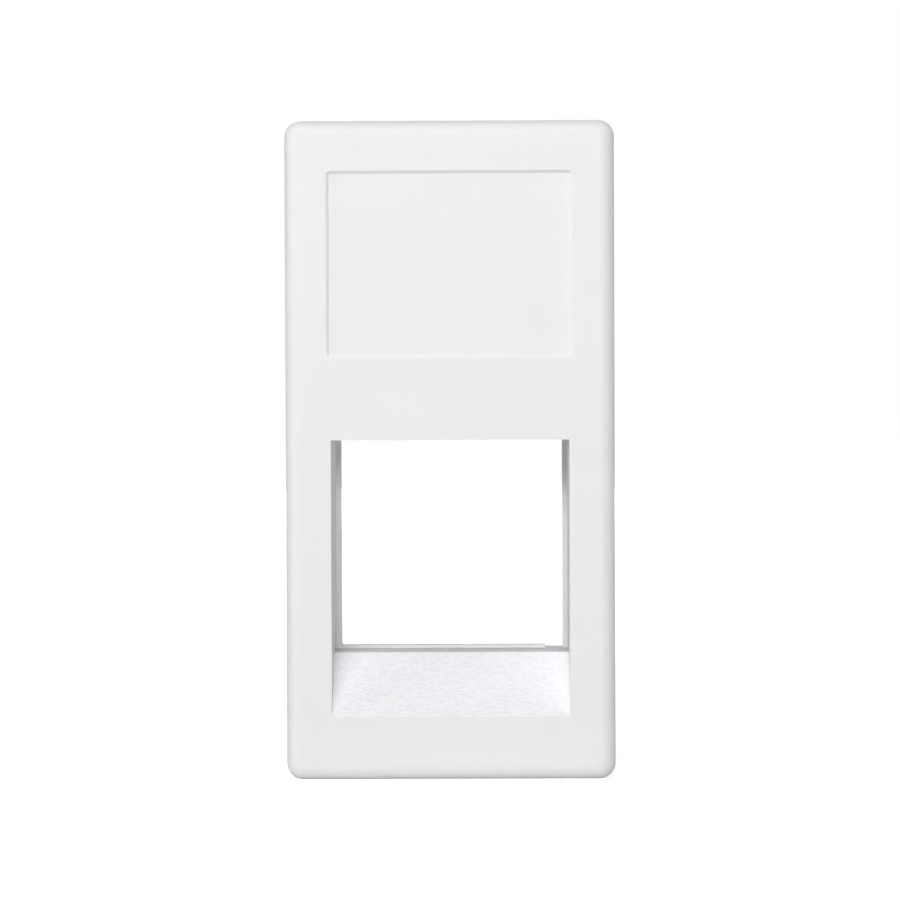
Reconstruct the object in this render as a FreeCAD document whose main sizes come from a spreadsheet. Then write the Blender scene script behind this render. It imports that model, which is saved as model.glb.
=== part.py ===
import FreeCAD, Part
import math
import os
import Sketcher

from FreeCAD import Vector

# A snap-in faceplate for one keystone jack, moulded in one piece: a face with a shallow label field
# above and a window with a sloping foot below, a skirt round its edge, a holder behind the window
# whose port the jack clips into, and two sprung arms that hold the plate in its frame.
#
# The plate faces -Y and stands with its label field up. Its origin is the centre of the skirt's rear
# rim, where it seats on the frame. Heights below are measured up from the plate's lower edge, and
# depths back from its front face. Lengths are in millimetres and angles in degrees.

SIZES = {
    # face and skirt
    "plate_width": 22.5,
    "plate_height": 45.0,
    "corner_radius": 1.1,
    "front_edge_radius": 1.0,
    "face_thickness": 2.2,
    "skirt_depth": 8.0,
    "skirt_wall": 1.1,
    "skirt_draft": 0.5,
    # label field
    "label_width": 16.8,
    "label_height": 12.74,
    "label_top_margin": 3.43,
    "label_depth": 0.2,
    "label_slope": 45.0,
    "label_corner_radius": 0.3,
    # window in the face, with a ramp at its foot, and the bay behind it for the front of the jack
    "window_width": 16.27,
    "window_height": 18.91,
    "window_foot": 4.31,
    "ramp_depth": 4.15,
    "ramp_angle": 45.0,
    "bay_depth": 8.2,
    "bay_draft": 0.25,
    # port at the back of the bay, which the jack is pushed through
    "port_width": 15.45,
    "port_height": 16.4,
    "port_sill": 0.23,
    "port_draft": 1.3,
    # holder round the bay and the port
    "holder_depth": 10.3,
    "holder_wall": 1.2,
    "holder_corner_radius": 0.6,
    # lower side of the holder, for the jack's fixed lug
    "lug_ledge": 1.3,
    "lug_slot": 1.5,
    "lug_pocket": 2.0,
    "lug_catch_height": 1.7,
    "lug_catch_land": 0.5,
    "lug_lead_in": 0.6,
    # upper side of the holder, for the jack's sprung latch
    "latch_ledge": 4.0,
    "latch_slot": 4.0,
    "latch_pocket": 4.0,
    "latch_catch_height": 2.0,
    "latch_lead_in": 0.8,
    # relief at the right-hand end of the port's sill
    "relief_width": 1.2,
    # sprung arms, above and below
    "arm_width": 10.0,
    "arm_thickness": 1.3,
    "arm_gap": 1.1,
    "arm_root_radius": 0.4,
    "frame_bar": 2.15,
    "hook_reach": 1.4,
    "hook_land": 0.5,
    "hook_length": 2.6,
    # ribs behind the label field
    "rib_thickness": 0.9,
    "rib_height": 1.0,
    "rib_spacing": 13.0,
}

# Lengths and volumes closer than this count as equal.
NEAR = 1e-4

# Heights and depths that more than one feature shares, written from the sizes.
FOOT = "-sizes.plate_height / 2"
HEAD = "sizes.plate_height / 2"
WINDOW_FOOT = f"{FOOT} + sizes.window_foot"
WINDOW_HEAD = f"{WINDOW_FOOT} + sizes.window_height"
RAMP_TOP = f"{WINDOW_FOOT} + sizes.ramp_depth * tan(sizes.ramp_angle)"
BAY_FLOOR = f"{RAMP_TOP} + (sizes.bay_depth - sizes.ramp_depth) * tan(sizes.bay_draft)"
PORT_FOOT = f"{BAY_FLOOR} + sizes.port_sill"
PORT_HEAD = f"{PORT_FOOT} + sizes.port_height"
HOLDER_FOOT = f"{PORT_FOOT} - sizes.lug_pocket - sizes.holder_wall"
HOLDER_HEAD = f"{PORT_HEAD} + sizes.latch_pocket + sizes.holder_wall"
HOLDER_WIDTH = "sizes.window_width + 2 * sizes.holder_wall"
HOLDER_REAR = "sizes.face_thickness + sizes.holder_depth"
LUG_FRONT = "sizes.bay_depth + sizes.lug_ledge"
LUG_REAR = f"{LUG_FRONT} + sizes.lug_slot"
LUG_FLOOR = f"{PORT_FOOT} - sizes.lug_pocket"
LATCH_FRONT = "sizes.face_thickness + sizes.latch_ledge"
LATCH_REAR = f"{LATCH_FRONT} + sizes.latch_slot"
LATCH_CEILING = f"{PORT_HEAD} + sizes.latch_pocket"
ARM_OUTER = f"{HEAD} - sizes.skirt_wall - sizes.arm_gap"
ARM_INNER = f"{ARM_OUTER} - sizes.arm_thickness"
HOOK_TOP = f"{ARM_OUTER} + sizes.hook_reach"
SHOULDER = "sizes.skirt_depth + sizes.frame_bar"
ARM_TIP = f"{SHOULDER} + sizes.hook_length"


def make_sheet(doc):
    """Write the sizes into a spreadsheet, one alias a row."""
    sheet = doc.addObject("Spreadsheet::Sheet", "sizes")
    for row, (alias, value) in enumerate(SIZES.items(), start=1):
        sheet.set(f"A{row}", alias)
        sheet.set(f"B{row}", str(value))
        sheet.setAlias(f"B{row}", alias)
    doc.recompute()
    return sheet


def origin_plane(body, role):
    """The body's own origin plane of that role, such as XZ_Plane."""
    return next(f for f in body.Origin.OriginFeatures if f.Role == role)


def sketch_on(body, name, role, depth="0"):
    """An empty sketch on an origin plane. On XZ_Plane it can lie at a depth behind the front face."""
    sketch = body.newObject("Sketcher::SketchObject", name)
    sketch.AttachmentSupport = [(origin_plane(body, role), "")]
    sketch.MapMode = "FlatFace"
    if depth != "0":
        sketch.setExpression("AttachmentOffset.Base.z", f"-({depth})")
    return sketch


def bind(sketch, expression, *constraint):
    """Add a constraint to the sketch and give its size as an expression."""
    index = sketch.addConstraint(Sketcher.Constraint(*constraint))
    sketch.setExpression(f"Constraints[{index}]", expression)


def bind_point(sketch, geometry, point, place):
    """Fix a point of the geometry at a place, given as a pair of expressions."""
    across, up = place
    bind(sketch, across, "DistanceX", geometry, point, sketch.evalExpression(across))
    bind(sketch, up, "DistanceY", geometry, point, sketch.evalExpression(up))


def outline(sketch, corners):
    """Join the corners with straight lines. Each corner is a pair of expressions."""
    points = [
        Vector(sketch.evalExpression(across), sketch.evalExpression(up), 0)
        for across, up in corners
    ]
    lines = [
        sketch.addGeometry(Part.LineSegment(start, end))
        for start, end in zip(points, points[1:] + points[:1])
    ]
    for line, following in zip(lines, lines[1:] + lines[:1]):
        sketch.addConstraint(Sketcher.Constraint("Coincident", line, 2, following, 1))
    for line, corner in zip(lines, corners):
        bind_point(sketch, line, 1, corner)
    return sketch


def box_outline(sketch, width, bottom, top):
    """A rectangle of that width, centred across the plate, between two heights."""
    left = f"-({width}) / 2"
    right = f"({width}) / 2"
    return outline(sketch, [(left, bottom), (right, bottom), (right, top), (left, top)])


def rounded_box_outline(sketch, width, bottom, top, radius):
    """The same rectangle with rounded corners, as four arcs joined by tangent lines."""
    right = f"({width}) / 2 - {radius}"
    left = f"-({right})"
    low = f"{bottom} + {radius}"
    high = f"{top} - {radius}"
    bend = sketch.evalExpression(radius)
    arcs = []
    for turn, place in enumerate([(right, low), (right, high), (left, high), (left, low)]):
        centre = Vector(sketch.evalExpression(place[0]), sketch.evalExpression(place[1]), 0)
        circle = Part.Circle(centre, Vector(0, 0, 1), bend)
        start = (turn - 1) * math.pi / 2
        arc = sketch.addGeometry(Part.ArcOfCircle(circle, start, start + math.pi / 2))
        bind_point(sketch, arc, 3, place)
        bind(sketch, radius, "Radius", arc, bend)
        arcs.append(arc)
    for arc, following in zip(arcs, arcs[1:] + arcs[:1]):
        ends = sketch.getPoint(arc, 2), sketch.getPoint(following, 1)
        line = sketch.addGeometry(Part.LineSegment(*ends))
        sketch.addConstraint(Sketcher.Constraint("Tangent", arc, 2, line, 1))
        sketch.addConstraint(Sketcher.Constraint("Tangent", line, 2, following, 1))
    return sketch


def extrude(body, kind, name, sketch, length, symmetric=False, taper="0"):
    """A Pad or Pocket of the sketch, to both sides of it or else backwards, towards +Y."""
    feature = body.newObject(f"PartDesign::{kind}", name)
    feature.Profile = sketch
    feature.setExpression("Length", length)
    if symmetric:
        feature.SideType = "Symmetric"
    else:
        feature.Reversed = kind == "Pad"
    if taper != "0":
        feature.setExpression("TaperAngle", taper)
    return feature


def edges_of(feature, wanted):
    """The names of the feature's edges whose box passes the test."""
    return [
        f"Edge{i}"
        for i, edge in enumerate(feature.Shape.Edges, start=1)
        if wanted(edge.BoundBox)
    ]


def round_edges(body, name, wanted, radius):
    """A Fillet of the wanted edges of the body's latest feature."""
    body.Document.recompute()
    base = body.Tip
    fillet = body.newObject("PartDesign::Fillet", name)
    fillet.Base = (base, edges_of(base, wanted))
    fillet.setExpression("Radius", radius)


def port_spread(length):
    """How far each side of the port has moved outwards after that length, through its draft."""
    return f"({length}) * tan(sizes.port_draft)"


def mirror(body, name, feature, role):
    """Repeat the feature on the other side of an origin plane."""
    copy = body.newObject("PartDesign::Mirrored", name)
    copy.Originals = [feature]
    copy.MirrorPlane = (origin_plane(body, role), [""])
    body.Tip = copy


def add_plate(body):
    """The outer block: its long corners and front edge are rounded, and it narrows to the rear."""
    sketch = box_outline(sketch_on(body, "plate_outline", "XZ_Plane"), "sizes.plate_width", FOOT, HEAD)
    extrude(body, "Pad", "plate", sketch, "sizes.skirt_depth", taper="-sizes.skirt_draft")
    depth = SIZES["skirt_depth"]
    round_edges(
        body, "corner_rounds", lambda box: box.YLength > depth - NEAR, "sizes.corner_radius"
    )
    round_edges(
        body, "front_edge_round", lambda box: box.YMax < NEAR, "sizes.front_edge_radius"
    )


def add_skirt(body):
    """Hollow the block from the rear, which leaves the face and a thin skirt."""
    sketch = box_outline(
        sketch_on(body, "skirt_inner_outline", "XZ_Plane", "sizes.face_thickness"),
        "sizes.plate_width - 2 * sizes.skirt_wall",
        f"{FOOT} + sizes.skirt_wall",
        f"{HEAD} - sizes.skirt_wall",
    )
    extrude(body, "Pocket", "skirt_hollow", sketch, "sizes.skirt_depth")


def add_holder(body):
    """The block behind the face that the bay, the port and the jack's pockets are cut into."""
    sketch = rounded_box_outline(
        sketch_on(body, "holder_outline", "XZ_Plane", "sizes.face_thickness"),
        HOLDER_WIDTH,
        HOLDER_FOOT,
        HOLDER_HEAD,
        "sizes.holder_corner_radius",
    )
    extrude(body, "Pad", "holder", sketch, "sizes.holder_depth")


def add_snap_arms(body):
    """Two sprung arms. Each ends in a hook whose shoulder holds the frame's bar against the skirt."""
    sketch = outline(
        sketch_on(body, "snap_arm_profile", "YZ_Plane"),
        [
            ("sizes.face_thickness", ARM_INNER),
            (ARM_TIP, ARM_INNER),
            (ARM_TIP, ARM_OUTER),
            (f"{SHOULDER} + sizes.hook_land", HOOK_TOP),
            (SHOULDER, HOOK_TOP),
            (SHOULDER, ARM_OUTER),
            ("sizes.face_thickness", ARM_OUTER),
        ],
    )
    arm = extrude(body, "Pad", "snap_arm", sketch, "sizes.arm_width", symmetric=True)
    mirror(body, "snap_arm_pair", arm, "XY_Plane")
    face = SIZES["face_thickness"]
    width = SIZES["arm_width"]
    round_edges(
        body,
        "snap_arm_root_rounds",
        lambda box: abs(box.YMax - face) < NEAR
        and box.YLength < NEAR
        and abs(box.XLength - width) < NEAR,
        "sizes.arm_root_radius",
    )


def add_ribs(body):
    """Two low ribs that stiffen the face behind the label field."""
    inner = "(sizes.rib_spacing - sizes.rib_thickness) / 2"
    outer = "(sizes.rib_spacing + sizes.rib_thickness) / 2"
    top = f"{HEAD} - sizes.skirt_wall"
    sketch = outline(
        sketch_on(body, "rib_outline", "XZ_Plane", "sizes.face_thickness"),
        [(inner, HOLDER_HEAD), (outer, HOLDER_HEAD), (outer, top), (inner, top)],
    )
    rib = extrude(body, "Pad", "stiffening_rib", sketch, "sizes.rib_height")
    mirror(body, "stiffening_rib_pair", rib, "YZ_Plane")


def bay_width(depth):
    """How wide the window and the bay behind it are at that depth, through their draft."""
    return f"sizes.window_width - 2 * ({depth}) * tan(sizes.bay_draft)"


def cut_window(body):
    """The window: its sides run straight back, and its foot is a ramp up to the bay's floor."""
    front = box_outline(
        sketch_on(body, "window_front", "XZ_Plane"), "sizes.window_width", WINDOW_FOOT, WINDOW_HEAD
    )
    rear = box_outline(
        sketch_on(body, "window_rear", "XZ_Plane", "sizes.ramp_depth"),
        bay_width("sizes.ramp_depth"),
        RAMP_TOP,
        WINDOW_HEAD,
    )
    window = body.newObject("PartDesign::SubtractiveLoft", "window")
    window.Profile = front
    window.Sections = [rear]
    window.Ruled = True


def cut_bay(body):
    """The bay behind the face, as wide as the window and higher. It narrows slightly to the rear."""
    length = "sizes.bay_depth - sizes.face_thickness"
    to_ramp_top = "sizes.ramp_depth - sizes.face_thickness"
    sketch = box_outline(
        sketch_on(body, "bay_outline", "XZ_Plane", "sizes.face_thickness"),
        bay_width("sizes.face_thickness"),
        f"{RAMP_TOP} - ({to_ramp_top}) * tan(sizes.bay_draft)",
        f"{PORT_HEAD} + ({length}) * tan(sizes.bay_draft)",
    )
    extrude(body, "Pocket", "bay", sketch, length, taper="-sizes.bay_draft")


def cut_port(body):
    """The port at the back of the bay. A rim narrows it at the sides, and a low sill at its foot."""
    sketch = box_outline(
        sketch_on(body, "port_outline", "XZ_Plane", "sizes.bay_depth"),
        "sizes.port_width",
        PORT_FOOT,
        PORT_HEAD,
    )
    extrude(body, "Pocket", "port", sketch, "sizes.holder_depth", taper="sizes.port_draft")


def cut_lug_pocket(body):
    """The slot behind the port's sill that takes the jack's fixed lug, and the low catch behind it."""
    sill_top = f"{PORT_FOOT} - {port_spread('sizes.lug_ledge')}"
    catch_top = f"{LUG_FLOOR} + sizes.lug_catch_height"
    sketch = outline(
        sketch_on(body, "lug_pocket_profile", "YZ_Plane"),
        [
            (LUG_FRONT, LUG_FLOOR),
            (LUG_REAR, LUG_FLOOR),
            (LUG_REAR, catch_top),
            (f"{LUG_REAR} + sizes.lug_catch_land", catch_top),
            (HOLDER_REAR, f"{catch_top} - sizes.lug_lead_in"),
            (HOLDER_REAR, sill_top),
            (LUG_FRONT, sill_top),
        ],
    )
    width = f"sizes.port_width + 2 * {port_spread('sizes.lug_ledge + sizes.lug_slot')}"
    extrude(body, "Pocket", "lug_pocket", sketch, width, symmetric=True)


def cut_latch_pocket(body):
    """The taller slot above the port for the jack's sprung latch. Its catch has a sloping lead-in."""
    catch_edge = f"{LATCH_CEILING} - sizes.latch_catch_height"
    sketch = outline(
        sketch_on(body, "latch_pocket_profile", "YZ_Plane"),
        [
            (LATCH_FRONT, PORT_HEAD),
            (HOLDER_REAR, PORT_HEAD),
            (HOLDER_REAR, f"{catch_edge} + sizes.latch_lead_in"),
            (LATCH_REAR, catch_edge),
            (LATCH_REAR, LATCH_CEILING),
            (LATCH_FRONT, LATCH_CEILING),
        ],
    )
    extrude(body, "Pocket", "latch_pocket", sketch, "sizes.port_width", symmetric=True)


def cut_sill_relief(body):
    """A relief through the right-hand end of the port's sill, down to the floor of the bay."""
    side = f"sizes.port_width / 2 + {port_spread('sizes.lug_ledge')}"
    inner = "sizes.port_width / 2 - sizes.relief_width"
    sketch = outline(
        sketch_on(body, "sill_relief_outline", "XZ_Plane", "sizes.bay_depth"),
        [(inner, BAY_FLOOR), (side, BAY_FLOOR), (side, PORT_FOOT), (inner, PORT_FOOT)],
    )
    extrude(body, "Pocket", "sill_relief", sketch, "sizes.lug_ledge")


def cut_label_field(body):
    """The shallow field for a stick-on label, with sloping walls."""
    top = f"{HEAD} - sizes.label_top_margin"
    sketch = rounded_box_outline(
        sketch_on(body, "label_outline", "XZ_Plane"),
        "sizes.label_width",
        f"{top} - sizes.label_height",
        top,
        "sizes.label_corner_radius",
    )
    extrude(body, "Pocket", "label_field", sketch, "sizes.label_depth", taper="-sizes.label_slope")


def build_faceplate(doc):
    """The whole moulding, as one body with its origin at the centre of the skirt's rear rim."""
    body = doc.addObject("PartDesign::Body", "faceplate")
    body.Label = "faceplate"
    add_plate(body)
    add_skirt(body)
    add_holder(body)
    add_snap_arms(body)
    add_ribs(body)
    cut_window(body)
    cut_bay(body)
    cut_port(body)
    cut_lug_pocket(body)
    cut_latch_pocket(body)
    cut_sill_relief(body)
    cut_label_field(body)
    body.setExpression("Placement.Base.y", "-sizes.skirt_depth")
    return body


def check_objects(doc):
    """Stop if any object failed to compute."""
    for item in doc.Objects:
        if "Invalid" in item.State or "Error" in item.State:
            raise RuntimeError(f"{item.Name} did not compute: {item.State}")


def check_body(body):
    """Stop unless the body is one valid solid and every feature added or removed material."""
    if body.Shape.isNull() or not body.Shape.isValid() or len(body.Shape.Solids) != 1:
        raise RuntimeError(f"{body.Label} is not one valid solid")
    for feature in body.Group:
        before = getattr(feature, "BaseFeature", None)
        if before is not None and abs(feature.Shape.Volume - before.Shape.Volume) < NEAR:
            raise RuntimeError(f"{feature.Name} changed nothing")


def write_step(body):
    """Write the body to parts/, in a file named by its label."""
    os.makedirs("parts", exist_ok=True)
    body.Shape.exportStep(f"parts/{body.Label}.step")


document = FreeCAD.newDocument("keystone_faceplate")
make_sheet(document)
faceplate = build_faceplate(document)
document.recompute()
check_objects(document)
check_body(faceplate)
write_step(faceplate)
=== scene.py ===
import math

import bpy
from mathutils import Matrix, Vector


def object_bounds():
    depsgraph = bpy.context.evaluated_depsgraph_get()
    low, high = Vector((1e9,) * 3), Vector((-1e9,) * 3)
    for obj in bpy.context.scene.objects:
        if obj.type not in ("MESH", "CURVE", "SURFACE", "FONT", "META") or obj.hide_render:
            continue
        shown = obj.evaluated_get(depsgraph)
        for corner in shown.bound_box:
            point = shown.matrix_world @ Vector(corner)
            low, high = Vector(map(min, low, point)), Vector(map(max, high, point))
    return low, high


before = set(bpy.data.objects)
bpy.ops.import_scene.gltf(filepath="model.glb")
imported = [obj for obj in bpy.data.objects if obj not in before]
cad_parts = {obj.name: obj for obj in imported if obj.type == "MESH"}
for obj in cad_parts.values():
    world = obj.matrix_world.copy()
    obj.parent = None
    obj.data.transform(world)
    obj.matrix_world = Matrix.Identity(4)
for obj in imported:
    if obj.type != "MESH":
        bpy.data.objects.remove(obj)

cad_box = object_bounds()


# ---------------------------------------------------------------------------------------------
# The faceplate: one injection moulding in matt white plastic, with a fine, even grain on its
# face. The ramp under the window has a coarser grain, a crinkle. The two sprung arms that hold
# the plate in its frame come out of the same mould.
# ---------------------------------------------------------------------------------------------

PLATE = "faceplate"

# It is all one plastic. The ramp is painted lighter and cooler than the face, a painted highlight
# for the glint of its crinkle, with painted glints on its crests; the level sill behind it is
# painted darker, a painted shade for the shade that it lies in.
WHITE = (0.850, 0.850, 0.850, 1.0)
RAMP_HOLLOW_PAINTED_LIGHT = (0.902, 0.895, 0.930, 1.0)
RAMP_CREST_PAINTED_GLINT = (0.950, 0.945, 0.972, 1.0)
SILL_PAINTED_SHADE = (0.720, 0.720, 0.725, 1.0)
PLASTIC_IOR = 1.5
SPECULAR_LEVEL = 0.35

GRAIN_WIDTH = 0.00022          # of a grain on the face
GRAIN_DETAIL = (3.0, 0.55)     # how many finer layers its noise has, and what share each keeps
GRAIN_HEIGHT = 0.000016

CELL_HEIGHT = 0.00036          # of a cell of the crinkle, along the ramp
CELL_STRETCH = 1.7             # how much wider than high it is
CELL_DETAIL = (1.5, 0.5)
CREST_LINE = 0.5               # the crests run where the cells' noise has this value
CREST_SPAN = 0.14              # and end where it is this far from it
CREST_HEIGHT = 0.000022

FLOW_WIDTH = 0.004             # of the faint unevenness that the melt leaves in the sheen
FLOW_DETAIL = (2.0, 0.5)
FLOW_SPAN = (0.3, 0.7)         # from and to these values of its noise
FACE_ROUGHNESS = (0.58, 0.68)  # the face goes from and to these
RAMP_ROUGHNESS = 0.5
SILL_ROUGHNESS = 0.95

# What tells the ramp and the sill from the rest is how they face, as parts of their normal.
RAMP_RISE = (0.50, 0.65)       # upwards, from an upright wall to the ramp
SILL_RISE = (0.88, 0.97)       # upwards, from the ramp to the level sill
RAMP_TURN = (-0.3, -0.1)       # backwards, from the ramp to what no longer faces the front
MIDDLE = 0.0                   # both lie below this height


def arithmetic(tree, operation, first, second=0.0):
    """One step of arithmetic on two values, each a socket or a plain number."""
    step = tree.nodes.new("ShaderNodeMath")
    step.operation = operation
    for socket, value in zip(step.inputs, (first, second)):
        if isinstance(value, float):
            socket.default_value = value
        else:
            tree.links.new(value, socket)
    return step.outputs["Value"]


def spread(tree, source, span, to_span):
    """Carry a value in a straight line from one span to another, and no further than its ends."""
    line = tree.nodes.new("ShaderNodeMapRange")
    ends = ("From Min", "From Max", "To Min", "To Max")
    for end, value in zip(ends, (*span, *to_span)):
        line.inputs[end].default_value = value
    tree.links.new(source, line.inputs["Value"])
    return line.outputs["Result"]


def lay_over(tree, area, under, over, data_type="FLOAT"):
    """One value or colour, and another over it where the area is 1. Each is plain or a socket."""
    layers = tree.nodes.new("ShaderNodeMix")
    layers.data_type = data_type
    tree.links.new(area, layers.inputs["Factor"])
    for name, value in (("A", under), ("B", over)):
        if isinstance(value, (float, tuple)):
            layers.inputs[name].default_value = value
        else:
            tree.links.new(value, layers.inputs[name])
    return layers.outputs["Result"]


def grain(tree, place, width, detail, share):
    """A cloudy noise with cells of that width and finer layers within them."""
    cloud = tree.nodes.new("ShaderNodeTexNoise")
    cloud.inputs["Scale"].default_value = 1.0 / width
    cloud.inputs["Detail"].default_value = detail
    cloud.inputs["Roughness"].default_value = share
    tree.links.new(place, cloud.inputs["Vector"])
    return cloud.outputs["Fac"]


def raised(tree, height, distance, under=None, area=None):
    """The surface raised by a pattern, over what already raises it and only in the area."""
    bump = tree.nodes.new("ShaderNodeBump")
    bump.inputs["Strength"].default_value = 1.0
    bump.inputs["Distance"].default_value = distance
    for name, source in (("Height", height), ("Normal", under), ("Strength", area)):
        if source is not None:
            tree.links.new(source, bump.inputs[name])
    return bump.outputs["Normal"]


def crinkle_crests(tree, place):
    """1 along the lines where the cells' noise passes through CREST_LINE, down to 0 off them."""
    wide = tree.nodes.new("ShaderNodeVectorMath")
    wide.operation = "MULTIPLY"
    wide.inputs[1].default_value = (1 / CELL_STRETCH, 1.0, 1.0)
    tree.links.new(place, wide.inputs[0])
    cells = grain(tree, wide.outputs["Vector"], CELL_HEIGHT, *CELL_DETAIL)
    off_line = arithmetic(tree, "ABSOLUTE", arithmetic(tree, "SUBTRACT", cells, CREST_LINE))
    return spread(tree, off_line, (0.0, CREST_SPAN), (1.0, 0.0))


def ramp_and_sill(tree, place):
    """Two areas below the middle: what slopes up and faces the front, and what lies level."""
    position = tree.nodes.new("ShaderNodeSeparateXYZ")
    tree.links.new(place, position.inputs["Vector"])
    below = arithmetic(tree, "LESS_THAN", position.outputs["Z"], MIDDLE)

    normal = tree.nodes.new("ShaderNodeSeparateXYZ")
    facing = tree.nodes.new("ShaderNodeNewGeometry").outputs["Normal"]
    tree.links.new(facing, normal.inputs["Vector"])
    sloping = spread(tree, normal.outputs["Z"], RAMP_RISE, (0.0, 1.0))
    not_level = spread(tree, normal.outputs["Z"], SILL_RISE, (1.0, 0.0))
    forwards = spread(tree, normal.outputs["Y"], RAMP_TURN, (1.0, 0.0))
    ramp = below
    for share in (sloping, not_level, forwards):
        ramp = arithmetic(tree, "MULTIPLY", ramp, share)

    level = spread(tree, normal.outputs["Z"], SILL_RISE, (0.0, 1.0))
    return ramp, arithmetic(tree, "MULTIPLY", level, below)


def white_plastic():
    """Matt white plastic: two sizes of grain, a sheen that is a little uneven, a painted
    highlight on the ramp and painted shade on the sill.
    """
    material = bpy.data.materials.new("white_plastic")
    material.use_nodes = True
    tree = material.node_tree
    shader = tree.nodes["Principled BSDF"]
    shader.inputs["IOR"].default_value = PLASTIC_IOR
    shader.inputs["Specular IOR Level"].default_value = SPECULAR_LEVEL

    place = tree.nodes.new("ShaderNodeTexCoord").outputs["Object"]
    crest = crinkle_crests(tree, place)
    ramp, sill = ramp_and_sill(tree, place)

    # Painted highlight: the ramp painted lighter and cooler, its crests lighter still as painted
    # glints.
    ramp_painted_glint = lay_over(tree, crest, RAMP_HOLLOW_PAINTED_LIGHT, RAMP_CREST_PAINTED_GLINT, "RGBA")
    colour = lay_over(tree, ramp, WHITE, ramp_painted_glint, "RGBA")
    # Painted shade: the level sill painted darker for the shade that it lies in.
    colour = lay_over(tree, sill, colour, SILL_PAINTED_SHADE, "RGBA")
    tree.links.new(colour, shader.inputs["Base Color"])

    flow = grain(tree, place, FLOW_WIDTH, *FLOW_DETAIL)
    roughness = spread(tree, flow, FLOW_SPAN, FACE_ROUGHNESS)
    roughness = lay_over(tree, ramp, roughness, RAMP_ROUGHNESS)
    roughness = lay_over(tree, sill, roughness, SILL_ROUGHNESS)
    tree.links.new(roughness, shader.inputs["Roughness"])

    surface = raised(tree, grain(tree, place, GRAIN_WIDTH, *GRAIN_DETAIL), GRAIN_HEIGHT)
    surface = raised(tree, crest, CREST_HEIGHT, under=surface, area=ramp)
    tree.links.new(surface, shader.inputs["Normal"])
    return material


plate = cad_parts[PLATE]
plate.material_slots[0].material = white_plastic()


# ---------------------------------------------------------------------------------------------
# The floor: a white sheet that the plate stands on. The camera sees it as plain white, darkened
# a little where the plate keeps the light off it.
# ---------------------------------------------------------------------------------------------

FLOOR_SIZE = 6.0
FLOOR_COLOUR = (0.80, 0.80, 0.80, 1.0)
# The camera sees this much of the light that falls on the floor, and a glow of the floor's own.
FLOOR_SEEN = (0.70, 0.70, 0.70, 1.0)
GLOW = (0.74, 0.96)         # its strength near the plate and further off
GLOW_REACH = (0.02, 0.14)   # how far from the middle of the floor that is


def for_camera(tree, seen, otherwise):
    """One shader for the camera and for what reflects it, and another for all other light."""
    path = tree.nodes.new("ShaderNodeLightPath")
    rays = path.outputs["Is Camera Ray"]
    for name in ("Is Glossy Ray", "Is Transmission Ray"):
        rays = arithmetic(tree, "MAXIMUM", rays, path.outputs[name])
    choice = tree.nodes.new("ShaderNodeMixShader")
    for socket, source in zip(choice.inputs, (rays, otherwise, seen)):
        tree.links.new(source, socket)
    return choice.outputs["Shader"]


def sheet(tree, colour):
    """A plain diffuse sheet."""
    diffuse = tree.nodes.new("ShaderNodeBsdfDiffuse")
    diffuse.inputs["Color"].default_value = colour
    return diffuse.outputs["BSDF"]


def floor_white():
    """Pale diffuse sheet that adds an even white for the camera and for what reflects it."""
    material = bpy.data.materials.new("floor_white")
    material.use_nodes = True
    tree = material.node_tree
    tree.nodes.clear()

    reach = tree.nodes.new("ShaderNodeVectorMath")
    reach.operation = "LENGTH"
    tree.links.new(tree.nodes.new("ShaderNodeTexCoord").outputs["Object"], reach.inputs[0])
    glow = tree.nodes.new("ShaderNodeEmission")
    strength = spread(tree, reach.outputs["Value"], GLOW_REACH, GLOW)
    tree.links.new(strength, glow.inputs["Strength"])

    seen = tree.nodes.new("ShaderNodeAddShader")
    tree.links.new(sheet(tree, FLOOR_SEEN), seen.inputs[0])
    tree.links.new(glow.outputs["Emission"], seen.inputs[1])
    white = for_camera(tree, seen.outputs["Shader"], sheet(tree, FLOOR_COLOUR))
    tree.links.new(white, tree.nodes.new("ShaderNodeOutputMaterial").inputs["Surface"])
    return material


low, high = cad_box
bpy.ops.mesh.primitive_plane_add(size=FLOOR_SIZE, location=(0, 0, low.z))
floor = bpy.context.object
floor.name = "floor"
floor.data.materials.append(floor_white())


# ---------------------------------------------------------------------------------------------
# Light: six soft boxes round the plate, in a dim white room that is darker towards the camera.
# The camera sees the room as plain white.
# ---------------------------------------------------------------------------------------------

BOX_DISTANCE = 0.60
BOX_SIZE = 0.21
# Each box's direction from the plate, in degrees to the left of straight ahead and in degrees
# up, and its power in watts.
SOFT_BOXES = {
    "front": (0, 20, 1.45),
    "left_front": (15, 30, 0.84),
    "top": (0, 68, 0.60),
    "left": (75, 5, 0.60),
    "rear": (180, 12, 1.00),
    "right": (-110, 8, 0.33),
}
ROOM_WHITE = (1.0, 1.0, 1.0, 1.0)
ROOM_LEVEL = (0.05, 0.10)   # its light from behind the camera and from behind the plate
ROOM_TURN = (-0.4, 0.4)     # the directions, front to back, between which that changes


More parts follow.
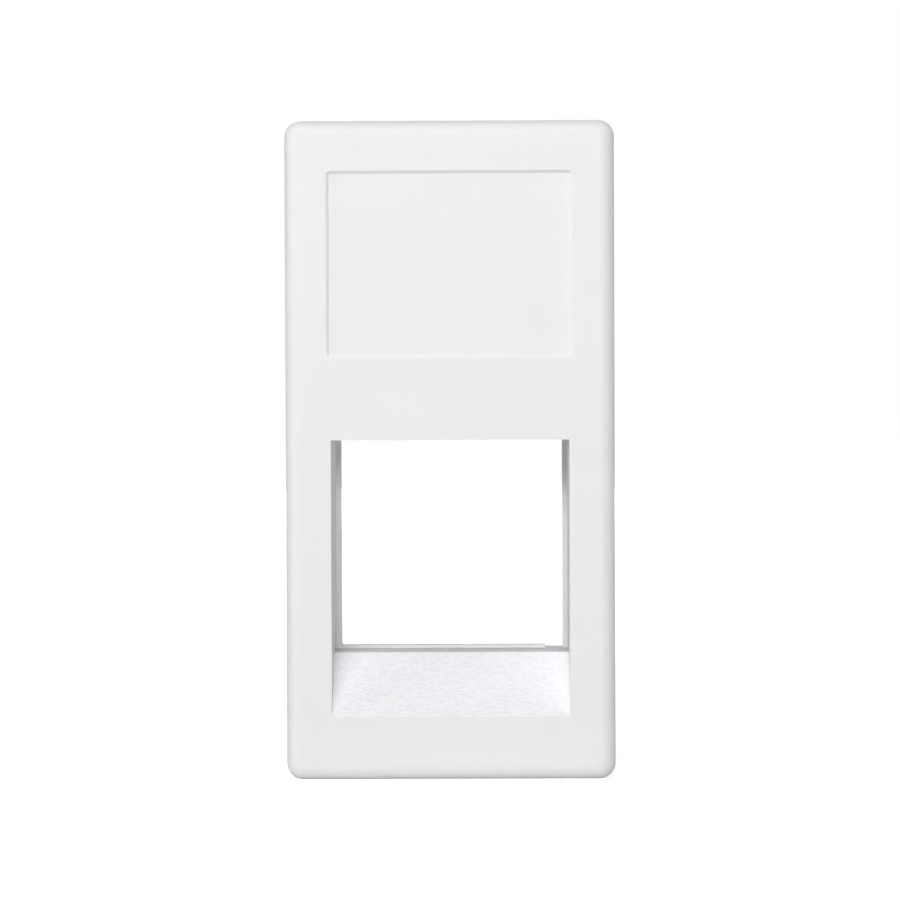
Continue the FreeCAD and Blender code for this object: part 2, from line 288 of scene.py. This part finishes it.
def add_soft_box(name, azimuth, elevation, power):
    """A round soft box at BOX_DISTANCE from the plate's middle, turned towards it."""
    across = math.radians(azimuth)
    up = math.radians(elevation)
    away = Vector((
        -math.cos(up) * math.sin(across),
        -math.cos(up) * math.cos(across),
        math.sin(up),
    ))
    box = bpy.data.objects.new(name, bpy.data.lights.new(name, "AREA"))
    box.data.shape = "DISK"
    box.data.size = BOX_SIZE
    box.data.energy = power
    box.location = (low + high) / 2 + away * BOX_DISTANCE
    box.rotation_mode = "QUATERNION"
    box.rotation_quaternion = (-away).to_track_quat("-Z", "Y")
    bpy.context.collection.objects.link(box)


def room_wall(tree):
    """The room's white, at a strength of 1."""
    wall = tree.nodes.new("ShaderNodeBackground")
    wall.inputs["Color"].default_value = ROOM_WHITE
    return wall


def white_room():
    """A white room, dim and darker towards the camera, that the camera sees as plain white."""
    room = bpy.data.worlds.new("room")
    room.use_nodes = True
    tree = room.node_tree
    tree.nodes.clear()

    heading = tree.nodes.new("ShaderNodeSeparateXYZ")
    around = tree.nodes.new("ShaderNodeTexCoord").outputs["Generated"]
    tree.links.new(around, heading.inputs["Vector"])
    level = spread(tree, heading.outputs["Y"], ROOM_TURN, ROOM_LEVEL)
    dim = room_wall(tree)
    tree.links.new(level, dim.inputs["Strength"])

    white = for_camera(tree, room_wall(tree).outputs["Background"], dim.outputs["Background"])
    tree.links.new(white, tree.nodes.new("ShaderNodeOutputWorld").inputs["Surface"])
    return room


for name, values in SOFT_BOXES.items():
    add_soft_box(name, *values)
bpy.context.scene.world = white_room()


# ---------------------------------------------------------------------------------------------
# Camera: a long lens, level with the upper half of the plate and slightly to its right.
# ---------------------------------------------------------------------------------------------

CAMERA_DISTANCE = 0.300     # from the front face
CAMERA_RIGHT = 0.00314
CAMERA_UP = 0.00724
SENSOR = 36.0               # in millimetres, as the lens is
LENS = 176.2
CLIP_START = 0.01
CLIP_END = 20.0
PAN = math.radians(0.595)   # to the left
TILT = math.radians(1.375)  # down
ROLL = math.radians(0.226)

camera = bpy.data.objects.new("camera", bpy.data.cameras.new("camera"))
camera.data.sensor_width = SENSOR
camera.data.lens = LENS
camera.data.clip_start = CLIP_START
camera.data.clip_end = CLIP_END
camera.location = (CAMERA_RIGHT, low.y - CAMERA_DISTANCE, CAMERA_UP)
camera.rotation_euler = (math.pi / 2 - TILT, ROLL, PAN)
bpy.context.collection.objects.link(camera)
bpy.context.scene.camera = camera
bpy.context.scene.view_settings.view_transform = "Standard"
